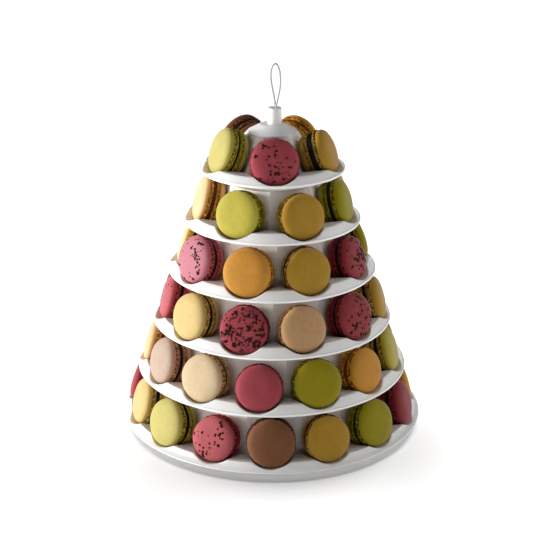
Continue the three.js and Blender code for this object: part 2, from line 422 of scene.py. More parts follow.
def shades(colour, factors):
    """The darkest and the lightest shade of a mottled colour."""
    return tuple(scaled(colour, factor) for factor in factors)


SHELL_SHADES = (0.93, 1.07)
# the foot's darkest and lightest shade: lifted overall as painted bounce light, with the
# light one painted on the blisters' crests
FOOT_PAINTED_LIGHT = (0.95, 1.35)
FILLING_SHADES = (0.7, 1.15)
PLASTIC_TONES = ((0.88, 0.872, 0.86), (0.86, 0.85, 0.835))
# painted warm shade: a darker, creamier tone in among the macarons, standing in for light
# bounced off them
PAINTED_WARM_SHADE_TONE = (0.86, 0.80, 0.745)
WIRE_TONES = ((0.50, 0.49, 0.485), (0.44, 0.43, 0.425))
CRUMB_TONES = (rgb("1a0a07"), rgb("40190f"))


def white_plastic():
    """White plastic, with a painted warm shade in among the macarons, where light bounced
    off them falls, and plain out on the rims.
    """
    finish = Finish("white_plastic")
    wear = finish.group(WEAR)
    tone = mixed(finish.tree, wear["Tint"], *PLASTIC_TONES)
    tone = mixed(finish.tree, finish.attribute("painted_warm_shade"), tone, PAINTED_WARM_SHADE_TONE)
    finish.link(tone, "Base Color")
    finish.link(wear["Roughness"], "Roughness")
    finish.bump(wear["Height"], 0.03)
    finish.set(IOR=1.48, Subsurface_Weight=0.35, Subsurface_Radius=(1, 0.85, 0.7),
               Subsurface_Scale=6 * MM)
    return finish.material


def wire_coat():
    finish = Finish("wire_coat")
    wear = finish.group(WEAR)
    finish.link(mixed(finish.tree, wear["Tint"], *WIRE_TONES), "Base Color")
    finish.link(wear["Roughness"], "Roughness")
    finish.bump(wear["Height"], 0.02)
    return finish.material


def shell_finish(name, colour, foot, flecks):
    """A smooth baked dome: mottled, finely grained and a little deeper in colour at
    its edge. The flecks are ground bits in the batter, from 0 to 1."""
    finish = Finish(f"shell_{name}")
    grain = finish.group(GRAIN, Grain=0.8)
    tree = finish.tree
    edge = finish.attribute("edge")
    tone = mixed(tree, grain["Mottle"], *shades(colour, SHELL_SHADES))
    tone = mixed(tree, maths(tree, "MULTIPLY", grain["Grain"], 0.5), tone,
                 scaled(stronger(colour, 1.15), 0.8))
    tone = mixed(tree, maths(tree, "MULTIPLY", edge, 0.8), tone, stronger(foot, 1.1))
    freckled = maths(tree, "MULTIPLY", grain["Freckle"], 0.1 + 0.6 * flecks)
    tone = mixed(tree, freckled, tone, deepened(colour, 1.8))
    finish.link(tone, "Base Color")
    finish.link(ranged(tree, grain["Mottle"], 0, 1, 0.55, 0.68), "Roughness")
    finish.bump(grain["Height"], 0.06)
    finish.set(Specular_IOR_Level=0.1, Sheen_Weight=0.3, Sheen_Roughness=0.35)
    return finish.material


def foot_finish(name, colour, crust_and_pit_shade):
    """The ruffled foot under a dome: small blisters, painted lighter on their crests, with
    dark pits between them, most of them close under the dome. The pits' dark is partly a
    browner crust and partly painted shade, most of it under the dome's overhang."""
    finish = Finish(f"foot_{name}")
    blister = finish.group(BLISTERS)
    tree = finish.tree
    # painted light and shade on the foot's relief: crests lighter, pits darker, most close
    # under the dome
    near = ranged(tree, finish.attribute("edge"), 0.2, 1.0, 0.4, 1.0)
    pit = maths(tree, "MULTIPLY", blister["Pit"], near, clamp=True)
    pit = maths(tree, "MAXIMUM", pit, finish.attribute("pit"))
    tone = mixed(tree, blister["Rise"], *shades(colour, FOOT_PAINTED_LIGHT))
    tone = mixed(tree, pit, tone, crust_and_pit_shade)
    finish.link(tone, "Base Color")
    finish.bump(blister["Height"], 0.55)
    finish.set(Roughness=0.8, Specular_IOR_Level=0.12)
    return finish.material


def filling_finish(name, colour):
    finish = Finish(f"filling_{name}")
    grain = finish.group(GRAIN, Grain=0.8)
    tone = mixed(finish.tree, grain["Mottle"], *shades(colour, FILLING_SHADES))
    finish.link(tone, "Base Color")
    finish.bump(grain["Height"], 0.25)
    finish.set(Roughness=0.6, Specular_IOR_Level=0.15)
    return finish.material


def crumb_finish():
    finish = Finish("cocoa_crumb")
    grain = finish.group(GRAIN, Grain=1.5)
    tone = mixed(finish.tree, grain["Mottle"], *CRUMB_TONES)
    finish.link(tone, "Base Color")
    finish.bump(grain["Height"], 0.1)
    finish.set(Roughness=0.75, Specular_IOR_Level=0.1)
    return finish.material


WHITE = white_plastic()
WIRE = wire_coat()
CRUMB = crumb_finish()

GANACHE = "0e0a08"
# Each flavour's shell, its foot, the dark in the foot's pits (a browner crust and painted
# shade), its filling, and flecks.
FLAVOURS = {
    "raspberry": ("9b434b", "9e2f3a", "3a0a10", "1c0a0b", 0.2),
    # The next two are copies of raspberry with painted light, the second paler still with
    # a painted highlight, for macarons that face the key lamp.
    "strawberry": ("b25b5f", "b03e48", "4d1018", "1c0a0b", 0.1),
    "rose": ("ba7882", "c65f6a", "5c141c", "1c0a0b", 0.1),
    "cherry": ("89363a", "85262b", "2b090c", GANACHE, 0.1),
    "lime": ("bbb068", "b0a22e", "57450a", GANACHE, 0.0),
    # A copy of lime with painted shade: deeper, for a macaron that gets less of the key
    # lamp.
    "kiwi": ("b3a745", "9c9018", "33280a", GANACHE, 0.0),
    "pistachio": ("8d8113", "8f860a", "352a06", GANACHE, 0.0),
    "caramel": ("a6802d", "b48d38", "38210a", GANACHE, 0.0),
    "orange": ("bd8636", "d0902a", "5c2606", "6a3410", 0.15),
    # A copy of orange with a painted highlight: a pale dome, for a macaron that faces the
    # key lamp.
    "apricot": ("e2bf92", "d4953a", "6a340c", "5a2c0e", 0.1),
    "lemon": ("ceb479", "c9a44e", "774c14", GANACHE, 0.25),
    # The next two are copies of lemon: one deeper with painted shade, for a macaron turned
    # away from the key lamp, and one pale with a painted highlight, for one that faces it.
    "mustard": ("a99a42", "9a8614", "3d3008", GANACHE, 0.0),
    "citron": ("e4cf98", "deae24", "8a5a10", GANACHE, 0.0),
    "biscuit": ("cbb493", "cca467", "5a3416", "5a3518", 0.4),
    "tan": ("b9936a", "c99a62", "522b10", "5a3518", 0.9),
    "blush": ("b7a08e", "c08a6c", "65341f", "2a1610", 0.2),
    "cocoa": ("774f35", "7a4a2c", "2b160c", GANACHE, 0.1),
}


def flavour_finishes(name):
    shell, foot, crust_and_pit_shade, filling, flecks = FLAVOURS[name]
    return [shell_finish(name, rgb(shell), rgb(foot), flecks),
            foot_finish(name, rgb(foot), rgb(crust_and_pit_shade)),
            filling_finish(name, rgb(filling))]


FINISHES = {name: flavour_finishes(name) for name in FLAVOURS}

# ---- trays ----

LEDGE_INSET = 6.0
LEDGE_RISES = (6.8, 8.0, 8.0, 8.0, 8.0, 6.5)
LEDGE_FALL = 0.15  # how steeply a ledge slopes down towards its hub
LIP_INSET = 1.0  # the narrow flat inside the rim's rounded lip, in from the edge and up
LIP_RISE = 2.08
LIP_BLEND = 0.3
# The lowest tray climbs gently and then steeply: each part starts this far in from the
# edge, at this height, and has this slope.
BASE_GENTLE = (0.8, 1.3, 0.6)
BASE_STEEP = (3.6, 2.9, 1.5)
BASE_BLEND = 0.4
EDGE_BLEND = 0.7  # how far the slots' and ledges' edges are rounded over
RIDGE_BLEND = 0.7
RIB_HEIGHT = 0.34  # a faint upright rib runs along each ridge of a hub
RIB_WIDTH = 0.35
COLUMN_STEP = 1.35  # along the rim
CREASE_ANGLE = 34  # a white piece's edges stay crisp from this many degrees on
RIDGE_STEPS = (0.0, 0.35, 0.75, 1.4, 2.6)  # columns beside a ridge are closer together

CAP_RISE = 31.0
CAP_RADIUS = 19.9
CAP_TOP_RADIUS = 9.5
CAP_HEIGHT = 5.5
CAP_SKIRT = 1.2  # the cap reaches this far down over the hub, which ends inside it
CAP_SINK = 0.6
CAP_FLARE = 0.3  # the cap's edge stands out over the hub
CAP_ROUNDING = 0.7
CAP_COLUMNS = 120
POLE = 0.1  # a turned profile starts and ends this close to its axis
SHOULDER_SLOPE = 0.9  # how fast the highest hub's ridges run out from the cap's edge
HUB_SINK = 1.6  # a hub's top is this far up inside the tray above
HUB_MARGIN = 0.5


def ledge_height(plan, r):
    """The tray's surface where no slot cuts it: up the slope and in along the ledge."""
    inset = plan.radius - r
    rise = LEDGE_RISES[plan.number]
    ledge = rise - max(inset - LEDGE_INSET, 0.0) * LEDGE_FALL
    if plan.lowest:
        gentle, steep = (foot + (inset - start) * slope
                         for start, foot, slope in (BASE_GENTLE, BASE_STEEP))
        climb = soft_max(gentle, steep, BASE_BLEND)
    else:
        slope = (rise - LIP_RISE) / (LEDGE_INSET - LIP_INSET)
        climb = soft_max(LIP_RISE, LIP_RISE + (inset - LIP_INSET) * slope, LIP_BLEND)
    return soft_min(climb, ledge, EDGE_BLEND)


NO_SLOT = 1e3


def slot_height(plan, r, angle):
    """The bottom of the nearest slot, or a great height beside it."""
    index = round((angle - plan.start) / plan.cell)
    lift = SLOT_RADIUS - MACARON_RADIUS - REST_GAP
    lowest = NO_SLOT
    for i in (index - 1, index, index + 1):
        turn = angle - plan.angle(i % plan.count)
        x = r * math.sin(turn)
        y = r * math.cos(turn)
        if y <= 0 or abs(x) >= SLOT_RADIUS:
            continue
        sink = max(odd(plan, i, "drop"), 0.0)
        across = lift - sink - math.sqrt(SLOT_RADIUS ** 2 - x * x)
        climb = (y - plan.out) * math.sin(plan.lean) + across
        lowest = min(lowest, plan.up + climb / math.cos(plan.lean))
    return lowest


def tray_height(plan, r, angle):
    return soft_min(ledge_height(plan, r), slot_height(plan, r, angle), EDGE_BLEND)


def flat_radius(plan, up):
    """From the axis to the flat of a hub behind a macaron."""
    back_out, back_up = plan.slot_point(-(MACARON_HALF + SLOT_GAP), 0)
    return back_out - (up - back_up) * math.tan(plan.lean)


def hub_radius(plan, up, angle):
    """The hub has a flat behind each macaron and a ribbed ridge between two flats."""
    turn = (angle - plan.start + plan.cell / 2) % plan.cell - plan.cell / 2
    flat = flat_radius(plan, up)
    near = flat / math.cos(turn)
    far = flat / math.cos(plan.cell - abs(turn))
    ridge = (plan.cell / 2 - abs(turn)) * flat
    rib = RIB_HEIGHT * math.exp(-(ridge / RIB_WIDTH) ** 2)
    out = soft_min(near, far, RIDGE_BLEND) + rib
    if plan.highest:
        shoulder = CAP_RADIUS - CAP_FLARE + (CAP_RISE - up) * SHOULDER_SLOPE
        out = soft_min(out, shoulder, RIDGE_BLEND)
    return out


def column_angles(plan):
    """Angles once round the tray, closer together beside the hub's ridges."""
    half = plan.radius * plan.cell / 2
    steps = list(RIDGE_STEPS)
    rest = max(2, round((half - steps[-1]) / COLUMN_STEP))
    steps += [mix(RIDGE_STEPS[-1], half, (i + 1) / rest) for i in range(rest)]
    angles = []
    for i in range(plan.count):
        ridge = plan.start + (i - 0.5) * plan.cell
        angles += [ridge + s / plan.radius for s in steps]
        angles += [ridge + plan.cell - s / plan.radius for s in reversed(steps[1:-1])]
    return angles


EDGE_MARGIN = 0.8  # a slot's edge stays this far inside the rim
SEARCH_STEP = 0.7
HALVINGS = 14


def slot_edge(plan, angle, hub_out):
    """How far out the slot's edge is in this direction, or where the hub stands."""
    def depth(r):
        return ledge_height(plan, r) - slot_height(plan, r, angle)
    outer = plan.radius - EDGE_MARGIN
    r = outer
    while r > hub_out and depth(r) < 0:
        r -= SEARCH_STEP
    if r <= hub_out:
        return hub_out
    low, high = r, min(r + SEARCH_STEP, outer)
    for _ in range(HALVINGS):
        middle = (low + high) / 2
        if depth(middle) < 0:
            high = middle
        else:
            low = middle
    return low


# A rim's rounded lip from below: in from the edge, and up.
LIP = ((0.9, 0.05), (0.35, 0.02), (0.08, 0.22), (0.0, 0.6), (0.0, 1.3), (0.12, 1.75),
       (0.45, 2.05))
BASE_LIP = ((0.9, 0.05), (0.35, 0.02), (0.08, 0.15), (0.0, 0.4), (0.0, 0.7), (0.1, 0.98),
            (0.35, 1.13))
UNDERSIDE_INSET = 1.5  # the underside runs out to here, and this far below the rim
UNDERSIDE_DROP = 0.35
SLOPE_START = 0.35  # from the lip in to where the slope's points begin
BRINK_INSET = 1.0  # from the ledge's edge in to where they end
# How the points of each stretch are spaced, as shares of its length.
UNDERSIDE_SHARES = (0.0, 0.02, 0.25, 0.5, 0.75, 1.0)
SLOPE_SHARES = (0.0, 0.08, 0.14, 0.2, 0.3, 0.5, 0.7, 0.85, 0.94, 1.0)
LEDGE_SHARES = (0.06, 0.15, 0.35, 0.6, 0.82, 0.94, 1.0)
FLOOR_SHARES = (0.03, 0.08, 0.18, 0.32, 0.48, 0.64, 0.8, 0.92, 1.0)
WALL_SHARES = (0.03, 0.12, 0.3, 0.5, 0.7, 0.88, 1.0)
FOOT_ROUNDS = 12
PAINTED_WARM_SHADE_ROWS = 6  # over so many rows the painted warm shade fades in


def tray_section(plan, angle, top):
    """A closed outline of the tray in one direction, as (out, up) pairs from under its
    middle, round the rim and up the hub."""
    lip = BASE_LIP if plan.lowest else LIP
    belly = belly_radius(plan)
    points = [(mix(belly, plan.radius - UNDERSIDE_INSET, share),
               mix(plan.belly_up, -UNDERSIDE_DROP, share)) for share in UNDERSIDE_SHARES]
    points += [(plan.radius - inset, up) for inset, up in lip]
    hub_out = hub_radius(plan, LEDGE_RISES[plan.number], angle)
    crease = slot_edge(plan, angle, hub_out)
    outer = plan.radius - lip[-1][0] - SLOPE_START
    brink = min(max(crease, plan.radius - LEDGE_INSET - BRINK_INSET), outer)
    for share in SLOPE_SHARES:
        r = mix(outer, brink, share)
        points.append((r, tray_height(plan, r, angle)))
    for share in LEDGE_SHARES:
        r = mix(brink, crease, share)
        points.append((r, tray_height(plan, r, angle)))
    foot = crease
    for _ in range(FOOT_ROUNDS):  # closes in on where the slot's bottom meets the hub
        foot = hub_radius(plan, tray_height(plan, foot, angle), angle)
    foot = min(foot, crease)
    for share in FLOOR_SHARES:
        r = mix(crease, foot, share)
        points.append((r, tray_height(plan, r, angle)))
    start = points[-1][1]
    for share in WALL_SHARES:
        up = mix(start, top, share)
        points.append((hub_radius(plan, up, angle), up))
    return points


def belly_radius(plan):
    """A tray's underside covers the top of the hub that carries it."""
    if plan.lowest:
        return plan.belly_out
    under = plans[plan.number + 1]
    flat = flat_radius(under, TRAY_PITCH + plan.belly_up)
    ridge = flat / math.cos(under.cell / 2) + HUB_MARGIN
    sunk = HUB_SINK / -plan.belly_up
    return max(plan.belly_out, (ridge - sunk * plan.radius) / (1 - sunk))


def tray(plan):
    if plan.highest:
        top = CAP_RISE - CAP_SINK
    else:
        top = TRAY_PITCH + plans[plan.number - 1].belly_up + HUB_SINK
    angles = column_angles(plan)
    sections = [tray_section(plan, angle, top) for angle in angles]
    rows = len(sections[0])
    points = [(0, 0, plan.rim + plan.belly_up)]
    for row in range(rows):
        for angle, section in zip(angles, sections):
            r, up = section[row]
            points.append((r * math.sin(angle), -r * math.cos(angle), plan.rim + up))
    points.append((0, 0, plan.rim + top))
    faces = ring_faces(rows, len(angles))
    piece = new_piece(f"tray_{plan.number + 1}", points, faces, [WHITE])
    inside = rows - len(WALL_SHARES) - len(FLOOR_SHARES)
    # painted warm shade on the slot floors and hub walls, fading in over the rows before
    # them
    painted_warm_shade = [0.0] + [smooth(inside - PAINTED_WARM_SHADE_ROWS, inside, row) for row in range(rows)
                      for _ in angles] + [1.0]
    add_attribute(piece, "painted_warm_shade", painted_warm_shade)
    sharpen(piece, CREASE_ANGLE)
    return piece


def turned(name, profile, columns, material, middle=(0.0, 0.0)):
    """A turned piece from (radius, height) pairs, which start and end near the axis."""
    points = [(middle[0], middle[1], profile[0][1])]
    for r, z in profile:
        for c in range(columns):
            angle = 2 * math.pi * c / columns
            points.append(
                (middle[0] + r * math.sin(angle), middle[1] - r * math.cos(angle), z))
    points.append((middle[0], middle[1], profile[-1][1]))
    return new_piece(name, points, ring_faces(len(profile), columns), [material])


ROUNDING_STEPS = 4
ROUNDING_SHARE = 0.45  # a rounding takes at most this share of the side next to it


def rounded(corners, radius):
    """A profile with its inner corners rounded by short curves."""
    made = [corners[0]]
    for before, corner, after in zip(corners, corners[1:], corners[2:]):
        here = Vector(corner)
        into = Vector(before) - here
        away = Vector(after) - here
        reach = min(radius, into.length * ROUNDING_SHARE, away.length * ROUNDING_SHARE)
        start = here + into.normalized() * reach
        end = here + away.normalized() * reach
        for i in range(ROUNDING_STEPS + 1):
            t = i / ROUNDING_STEPS
            point = start * (1 - t) ** 2 + here * (2 * t * (1 - t)) + end * t * t
            made.append(tuple(point))
    made.append(corners[-1])
    return made


def cap():
    edge = plans[0].rim + CAP_RISE
    profile = rounded([
        (POLE, edge - CAP_SKIRT), (CAP_RADIUS - CAP_FLARE, edge - CAP_SKIRT),
        (CAP_RADIUS, edge), (CAP_TOP_RADIUS, edge + CAP_HEIGHT), (POLE, edge + CAP_HEIGHT),
    ], CAP_ROUNDING)
    piece = turned("cap", profile, CAP_COLUMNS, WHITE)
    sharpen(piece, CREASE_ANGLE)
    return piece


# ---- macarons ----

MACARON_COLUMNS = 110
DOME_ROWS = 12
DOME_FOOT = 0.51  # the dome's widest ring, as a share of the half thickness
DOME_POWER = 2.3
DOME_ROUND = 3.3
FOOT_TOP = 0.405  # where a foot meets its dome
DOME_SPREAD = 0.968  # the dome's widest ring, as a share of the foot's
DOME_ROW_POWER = 0.9
EDGE_START = 0.75  # how strongly the dome's widest ring is coloured as an edge
EDGE_FADE = 2.2
RUFFLE = 0.9  # how far the foot's ruffles stand in and out
RUFFLE_ROUND = 9  # how close together they are round the foot and up it
RUFFLE_UP = 0.55
RUFFLE_APART = 20  # how far the ruffles of one foot are from being those of the other
WAVE_PITCH = 1.15
FINE_PITCH = 2.6
PIT_DEPTH = 0.45
SEED_STEPS = (7.31, 3.17, 5.71)  # from one macaron's lumps and ruffles to the next one's
LUMP_SIZE = 0.175  # how far a dome's broad lumps rise and sink, and how close they are
LUMP_PITCH = 0.11
LOBES = (2, 3, 4)  # a macaron's outline has so many waves, each up to this share high
LOBE_SIZE = 0.006
SHELL_TWIST = 0.7  # how the waves of its two shells differ
SHELL_SLIP = 0.35  # how far a shell sits off its axis
USUAL_FILLING = 1.5  # half its thickness
USUAL_OOZE = 0.95
# The rings of a filling's side, a foot, and the dome's lower edge. Each filling ring has
# its share of the ooze taken off, its height as a share of the filling's, and how much
# it ruffles. Each foot ring has its share of the girth, its height between filling and
# dome, and its ruffle. Each edge ring has its share, its height over the foot, its
# ruffle, and how strongly it is coloured as an edge.
FILLING_RINGS = ((0.004, 0.45, 0.25), (0.0, 0.85, 0.25), (0.01, 0.99, 0.1))
FOOT_RINGS = ((0.962, 0.0, 0.4), (0.988, 0.08, 0.9), (1.0, 0.25, 1.0), (1.006, 0.45, 1.0),
              (1.0, 0.63, 1.0), (0.988, 0.8, 0.9), (0.97, 0.93, 0.6), (0.948, 1.0, 0.2))
EDGE_RINGS = ((0.958, 0.12, 0.1, 1.0), (0.965, 0.45, 0.0, 0.9))
SHELL, FOOT, FILLING = range(3)  # a face's kind, in the order of its flavour's finishes

# From the highest tray to the lowest, from the first macaron on round the tray. Some of
# these are copies of another flavour with painted light or shade, for where the macaron
# faces the lamps.
TRAY_FLAVOURS = [
    "raspberry caramel orange cocoa lime",
    "caramel pistachio biscuit raspberry cocoa apricot kiwi",
    "orange caramel cherry pistachio lemon cocoa lime citron rose",
    "tan cherry caramel orange lime blush pistachio cocoa strawberry lemon raspberry",
    "raspberry pistachio orange mustard caramel blush cocoa lime raspberry biscuit apricot"
    " blush biscuit",
    "cocoa caramel pistachio cherry orange lemon lemon biscuit biscuit lime lime"
    " raspberry lemon lime strawberry",
]


class Macaron:
    """One macaron's shape about its own axis, in millimetres, with the face to +Z."""

    def __init__(self, radius, half, filling, ooze, lift, seed):
        draw = random.Random(seed)
        self.radius = radius
        self.half = half
        self.filling = filling  # half the filling's thickness
        self.ooze = ooze  # how far out the filling comes, as a share of the radius
        self.seed = Vector([seed * step for step in SEED_STEPS])
        self.lobes = [(k, draw.uniform(-1, 1) * LOBE_SIZE, draw.uniform(0, 6.28))
                      for k in LOBES]
        self.slip = [(draw.uniform(-SHELL_SLIP, SHELL_SLIP),
                      draw.uniform(-SHELL_SLIP, SHELL_SLIP) + rise)
                     for rise in (lift, 0.0)]

    def girth(self, angle, side):
        share = 1 + sum(size * math.cos(k * angle + turn + side * SHELL_TWIST)
                        for k, size, turn in self.lobes)
        return self.radius * share

    def placed(self, angle, side, share, s):
        """A point at a share of the girth, s from the middle plane on one side."""
        r = self.girth(angle, side) * share
        dx, dy = self.slip[side > 0]
        return Vector((r * math.sin(angle) + dx, -r * math.cos(angle) + dy, s * side))

    def dome(self, angle, side, t):
        """The dome's surface, from t = 0 at its widest ring to t = 1 at its top."""
        turn = t * math.pi / 2
        climb = math.sin(turn) ** (2 / DOME_POWER)
        share = DOME_SPREAD * max(math.cos(turn), 0.0) ** (2 / DOME_ROUND)
        s = self.half * mix(DOME_FOOT, 1.0, climb)
        point = self.placed(angle, side, share, s)
        lump = noise.noise((point + self.seed) * LUMP_PITCH) * LUMP_SIZE
        point.z += lump * smooth(0.0, 0.6, t) * side
        return point

    def ruffle(self, angle, side, s):
        """How far a foot's surface stands out, and how deep its pits are."""
        spot = Vector((math.sin(angle) * RUFFLE_ROUND, math.cos(angle) * RUFFLE_ROUND,
                       s * RUFFLE_UP + side * RUFFLE_APART))
        wave = noise.noise(spot * WAVE_PITCH + self.seed)
        fine = noise.noise(spot * FINE_PITCH + self.seed)
        pit = smooth(0.05, 0.5, wave * 0.7 + fine * 0.6)
        return (wave * 0.5 + fine * 0.35) * -RUFFLE - pit * PIT_DEPTH, pit

    def rows(self):
        """Rings from the filling's middle to the top of one dome. Each is (share of
        the girth, s, ruffle, edge, kind), or (t, None, ...) on the dome."""
        top = FOOT_TOP * self.half
        made = [(self.ooze - less, self.filling * climb, strength, 0.0, FILLING)
                for less, climb, strength in FILLING_RINGS]
        made += [(share, mix(self.filling, top, climb), strength, climb, FOOT)
                 for share, climb, strength in FOOT_RINGS]
        made += [(share, top + over, strength, edge, SHELL)
                 for share, over, strength, edge in EDGE_RINGS]
        for row in range(DOME_ROWS):
            t = (row / DOME_ROWS) ** DOME_ROW_POWER
            made.append((t, None, 0.0, max(0.0, EDGE_START - EDGE_FADE * t), SHELL))
        return made

    def side_rings(self, side):
        """All rings of one side as lists of points, with their pits and edges."""
        rings = []
        for share, s, strength, edge, kind in self.rows():
            ring, pits = [], []
            for c in range(MACARON_COLUMNS):
                angle = 2 * math.pi * c / MACARON_COLUMNS
                if s is None:
                    ring.append(self.dome(angle, side, share))
                    pits.append(0.0)
                    continue
                out, pit = self.ruffle(angle, side, s) if strength else (0.0, 0.0)
                width = share + out * strength / self.radius
                ring.append(self.placed(angle, side, width, s))
                pits.append(pit * min(strength, 1.0))
            rings.append((ring, pits, edge, kind))
        return rings

    def mesh(self):
        """Points, faces, each face's kind, and each point's pit and edge."""
        rings = self.side_rings(-1)[::-1] + self.side_rings(1)
        points = [self.dome(0.0, -1, 1.0)]
        pits, edges = [0.0], [0.0]
        for ring, ring_pits, edge, _ in rings:
            points += ring
            pits += ring_pits
            edges += [edge] * MACARON_COLUMNS
        points.append(self.dome(0.0, 1, 1.0))
        pits.append(0.0)
        edges.append(0.0)
        faces = ring_faces(len(rings), MACARON_COLUMNS)
        kinds = [SHELL] * MACARON_COLUMNS
        for low, high in zip(rings, rings[1:]):  # between two kinds, the outer one's
            kinds += [min(low[3], high[3])] * MACARON_COLUMNS
        kinds += [SHELL] * MACARON_COLUMNS
        return points, faces, kinds, pits, edges


SEEDS_PER_TRAY = 20


def macaron_at(plan, index, order):
    """A macaron's own shape, and the matrix that sets it in its slot."""
    radius = MACARON_RADIUS + RADIUS_CYCLE[order % len(RADIUS_CYCLE)]
    half = MACARON_HALF + HALF_CYCLE[order % len(HALF_CYCLE)]
    if plan.lowest and (index in LEANING or index - 1 in LEANING):
        radius, half = MACARON_RADIUS + LEANING_EXTRA, MACARON_HALF
    radius = odd(plan, index, "radius", radius)
    half = odd(plan, index, "half", half)
    filling = odd(plan, index, "filling", USUAL_FILLING)
    ooze, lift = odd(plan, index, "ooze", USUAL_OOZE), odd(plan, index, "lift")
    seed = plan.number * SEEDS_PER_TRAY + index + 1
    shape = Macaron(radius, half, filling, ooze, lift, seed)
    across = radius - MACARON_RADIUS - odd(plan, index, "drop")
    along = half - MACARON_HALF + odd(plan, index, "out")
    turn = Matrix.Rotation(math.radians(odd(plan, index, "turn")), 4, "Y")
    slide = Matrix.Translation((odd(plan, index, "slide"), 0, 0))
    return shape, plan.seat(index, across, along) @ slide @ turn


def macaron_piece(name, members, flavour):
    """One object from one or two macarons, each a shape with its matrix."""
    points, faces, kinds, pits, edges = [], [], [], [], []
    for shape, place in members:
        own, own_faces, own_kinds, own_pits, own_edges = shape.mesh()
        shift = len(points)
        points += [place @ point for point in own]
        faces += [tuple(corner + shift for corner in face) for face in own_faces]
        kinds += own_kinds
        pits += own_pits
        edges += own_edges
    piece = new_piece(name, points, faces, FINISHES[flavour], kinds)
    add_attribute(piece, "pit", pits)
    add_attribute(piece, "edge", edges)
    return piece


# ---- crumbs on some shells ----

# By tray and place: how many crumbs lie on the face, how large they are, and how much
# they gather in heaps, from 0 to 1.
CRUMBED = {
    (0, 0): (56, 1.0, 0.25), (1, 3): (30, 1.0, 0.3), (2, 2): (80, 1.05, 0.45),
    (2, 8): (54, 1.05, 0.7), (3, 1): (70, 1.0, 0.4), (3, 8): (14, 0.9, 0.3),
    (3, 10): (180, 1.15, 0.25), (4, 8): (30, 1.0, 0.3), (5, 14): (38, 1.15, 0.3),
}
CRUMB_SIDES = 7
CRUMB_SIZES = (0.6, 0.7, 0.85, 1.0, 1.2, 1.5)
CRUMB_REACH = 0.93  # out to this share of a macaron's radius
HEAP_SIZE = 1.7
HEAP_SHARE = 0.75  # of the crumbs, where they gather the most
CRUMB_SEED = 11
CRUMB_SUNK = 0.12
# The rings of a crumb from below: height over the shell, what its size adds to that,
# and how wide the ring is.
CRUMB_RINGS = ((-CRUMB_SUNK, 0.0, 0.95), (0.06, 0.0, 1.0), (0.14, 0.1, 0.72))
CRUMB_PEAK = (0.18, 0.14)  # its top's height, and what its size adds


def crumb(draw, centre, normal, size):
    """A small flat-bottomed chip of cocoa sunk a little into the shell."""
    across = normal.orthogonal().normalized()
    along = normal.cross(across)
    stretch = draw.uniform(0.55, 1.0)
    turn = draw.uniform(0, math.pi)
    wide = across * math.cos(turn) + along * math.sin(turn)
    tall = normal.cross(wide)
    reach = [draw.uniform(0.65, 1.2) * size for _ in range(CRUMB_SIDES)]
    points = [centre - normal * CRUMB_SUNK]
    for level, growth, width in CRUMB_RINGS:
        for side in range(CRUMB_SIDES):
            angle = 2 * math.pi * side / CRUMB_SIDES
            points.append(centre + wide * (math.cos(angle) * reach[side] * width)
                          + tall * (math.sin(angle) * reach[side] * width * stretch)
                          + normal * (level + growth * size))
    points.append(centre + normal * (CRUMB_PEAK[0] + CRUMB_PEAK[1] * size))
    return points, ring_faces(len(CRUMB_RINGS), CRUMB_SIDES)


def crumb_spots(draw, count, heaps):
    """Places on a round face, as (share of its radius, angle). Some are scattered
    evenly and the rest lie close beside one that is there already."""
    spots = []
    while len(spots) < count:
        if spots and draw.random() < heaps * HEAP_SHARE:
            share, angle = draw.choice(spots)
            x = share * math.sin(angle) + draw.gauss(0, HEAP_SIZE) / MACARON_RADIUS
            y = share * math.cos(angle) + draw.gauss(0, HEAP_SIZE) / MACARON_RADIUS
            share, angle = math.hypot(x, y), math.atan2(x, y)
        else:
            share = math.sqrt(draw.random()) * CRUMB_REACH
            angle = draw.uniform(0, 2 * math.pi)
        if share < CRUMB_REACH:
            spots.append((share, angle))
    return spots


NEAR_TOP = 0.05  # a dome has no clear way to face any closer to its middle


def on_dome(shape, side, share, angle):
    """The point of a dome at a share of its radius, and the way it faces there."""
    step = 0.01
    t = math.acos(share ** (DOME_ROUND / 2)) * 2 / math.pi
    spot = shape.dome(angle, side, t)
    beside = shape.dome(angle + step, side, t) - spot
    above = shape.dome(angle, side, t - step) - spot
    normal = beside.cross(above).normalized()
    return spot, normal if normal.z * side > 0 else -normal


def crumbs(placed):
    """All crumbs as one piece."""
    draw = random.Random(CRUMB_SEED)
    points, faces = [], []
    for key, (count, size, heaps) in CRUMBED.items():
        shape, place = placed[key]
        turn = place.to_3x3()
        for side in (1, -1):
            for share, angle in crumb_spots(draw, count, heaps):
                spot, normal = on_dome(shape, side, max(share, NEAR_TOP), angle)
                chip = size * draw.choice(CRUMB_SIZES)
                own, own_faces = crumb(draw, place @ spot, turn @ normal, chip)
                shift = len(points)
                points += own
                faces += [tuple(corner + shift for corner in face) for face in own_faces]
    return new_piece("cocoa_crumbs", points, faces, [CRUMB])


# ---- handle ----

GRIP_LOW, GRIP_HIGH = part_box("grip")
GRIP_OUT = (GRIP_LOW[0] + GRIP_HIGH[0]) / 2 / MM
GRIP_RADIUS = (GRIP_HIGH[0] - GRIP_LOW[0]) / 2 / MM
GRIP_FOOT = plans[0].rim + CAP_RISE + CAP_HEIGHT
GRIP_TOP = GRIP_HIGH[2] / MM
LOOP_LOW, LOOP_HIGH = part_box("loop")
LOOP_OUT = (LOOP_LOW[0] + LOOP_HIGH[0]) / 2 / MM
LOOP_TOP = LOOP_HIGH[2] / MM
WIRE_RADIUS = 0.82
LOOP_HALF_WIDTH = 4.0
